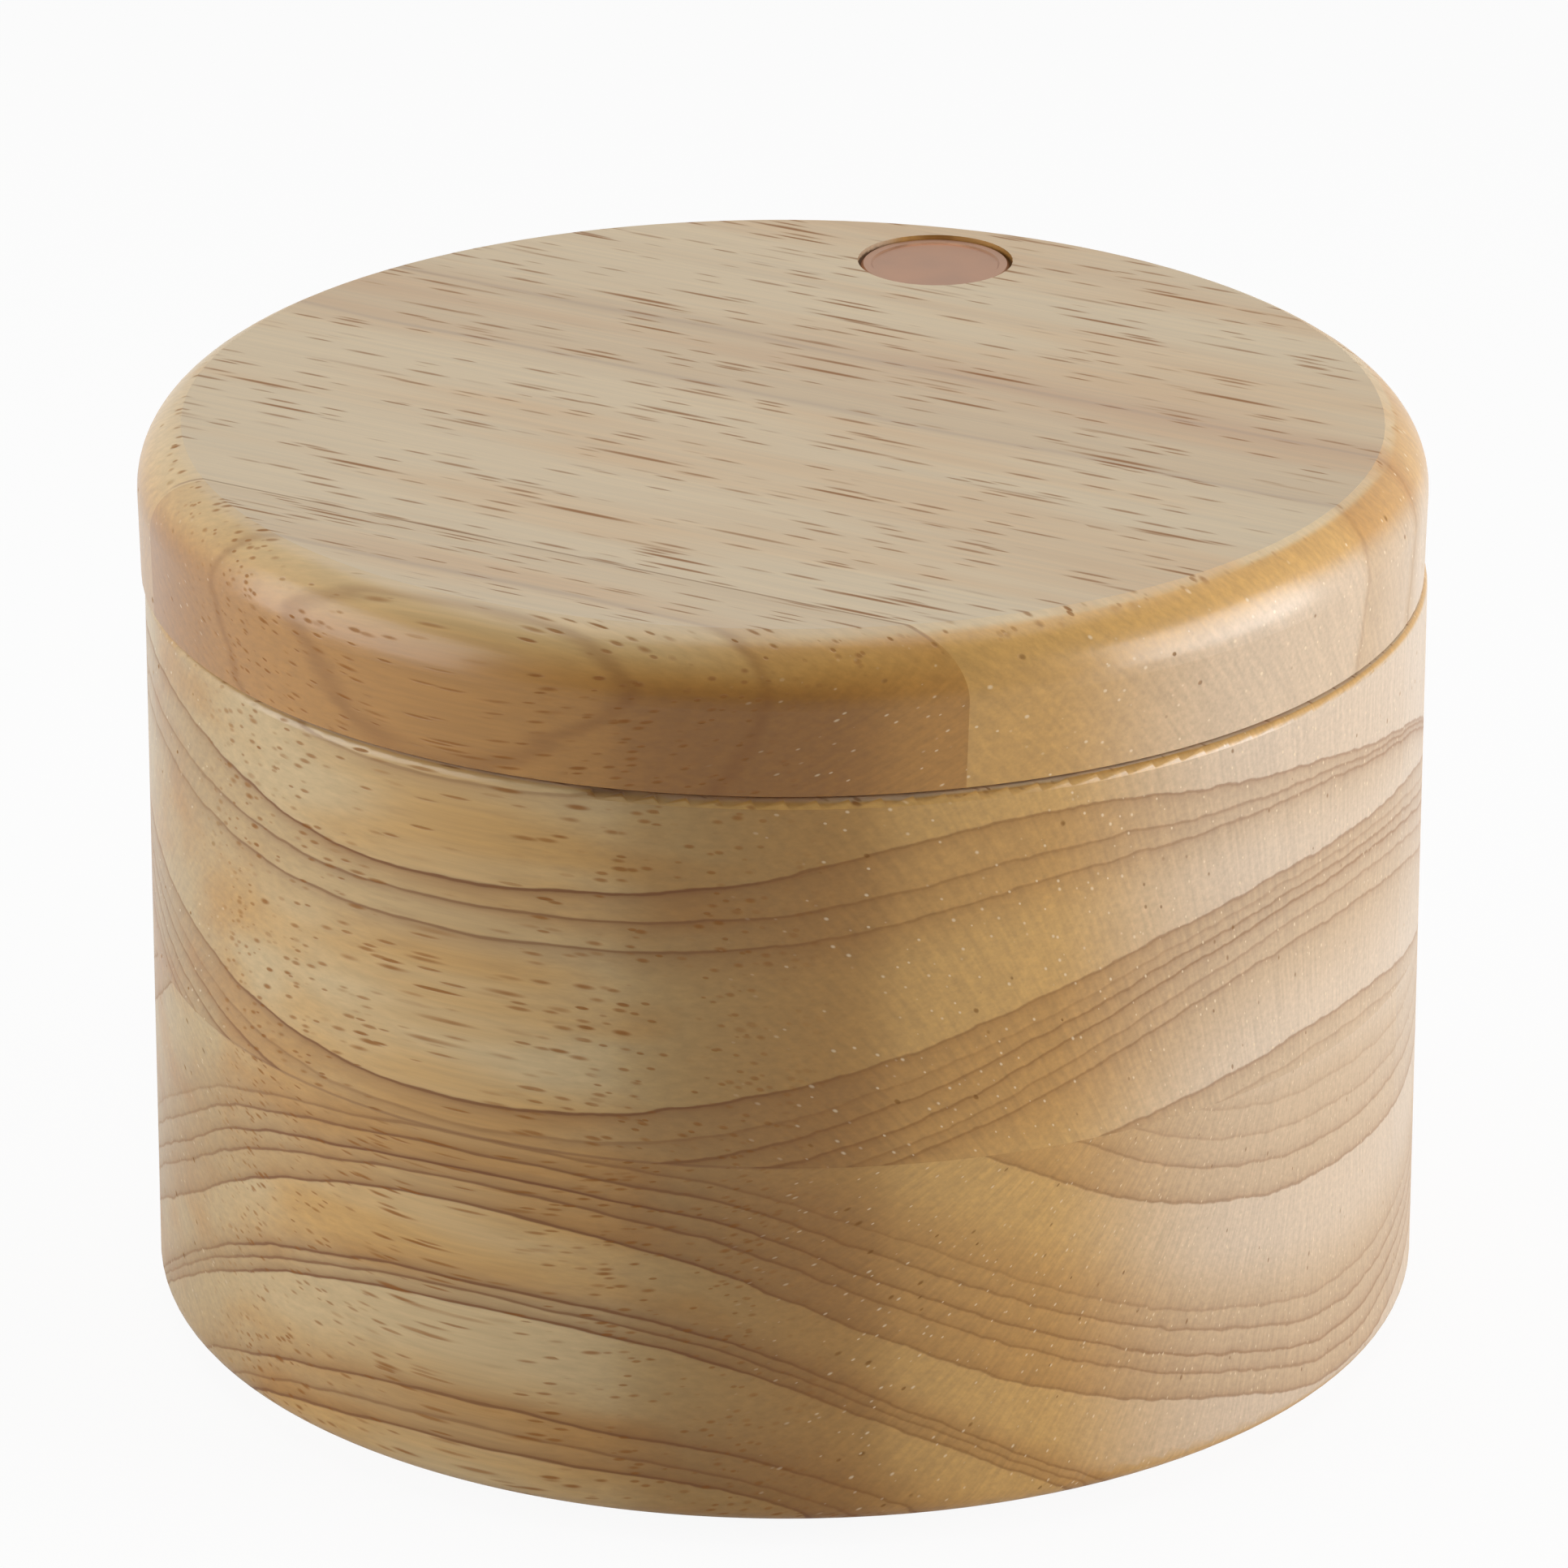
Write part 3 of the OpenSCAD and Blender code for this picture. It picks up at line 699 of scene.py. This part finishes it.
# Metal and nylon of the pivot and the catch. Grain is the size of the finish's clouding in mm.
# Copper gives a soft pink-brown sheen, steel and brass fine turning marks, nickel a bright mirror,
# and nylon a milky matt white.
hardware = {
    "satinCopper": {"colour": "#AE8468", "metallic": 1.0, "roughness": 0.34, "grain": (4, 4, 4)},
    "stainlessSteel": {"colour": "#B9BABC", "metallic": 1.0, "roughness": 0.28, "grain": (2, 2, 0.3)},
    "turnedBrass": {"colour": "#D9B468", "metallic": 1.0, "roughness": 0.3, "grain": (2, 2, 0.3)},
    "nickelPlate": {"colour": "#C9C6C0", "metallic": 1.0, "roughness": 0.12, "grain": (3, 3, 3)},
    "naturalNylon": {"colour": "#E4E0D3", "metallic": 0.0, "roughness": 0.55, "grain": (1, 1, 1)},
}
fittings = {
    "satinCopper": ["pivot_disc"],
    "stainlessSteel": ["pivot_screw", "screw_washer"],
    "turnedBrass": ["threaded_insert"],
    "nickelPlate": ["lid_magnet", "body_magnet"],
    "naturalNylon": ["pivot_bush", "thrust_washer"],
}


def hardwareFinish(name):
    look = hardware[name]
    material = newMaterial(name)
    tree = material.node_tree
    place = addNode(tree, "ShaderNodeTexCoord")
    scaled = addNode(tree, "ShaderNodeVectorMath", {"operation": "MULTIPLY"},
                     {0: place.outputs["Object"], 1: [1000 / length for length in look["grain"]]})
    cloud = addNode(tree, "ShaderNodeTexNoise", None,
                    {"Vector": scaled.outputs[0], "Scale": 1.0, "Detail": 4.0})
    tone = addNode(tree, "ShaderNodeMapRange", None,
                   {"Value": cloud.outputs[0], "From Min": 0.3, "From Max": 0.7,
                    "To Min": 0.93, "To Max": 1.05})
    colour = layColours(tree, hexToLinear(look["colour"]), [(1.0, "MULTIPLY", tone.outputs[0])])
    gloss = addNode(tree, "ShaderNodeMapRange", None,
                    {"Value": cloud.outputs[0], "To Min": look["roughness"] - 0.06,
                     "To Max": look["roughness"] + 0.06})
    bump = addNode(tree, "ShaderNodeBump", None,
                   {"Strength": 0.4, "Distance": 0.00002, "Height": cloud.outputs[0]})
    shader = addNode(tree, "ShaderNodeBsdfPrincipled", None,
                     {"Base Color": colour, "Metallic": look["metallic"], "Roughness": gloss.outputs[0],
                      "Normal": bump.outputs[0]})
    addNode(tree, "ShaderNodeOutputMaterial", None, {0: shader.outputs[0]})
    return material


for finishName, pieces in fittings.items():
    finish = hardwareFinish(finishName)
    for piece in pieces:
        dress(piece, finish)
print("hardware done")
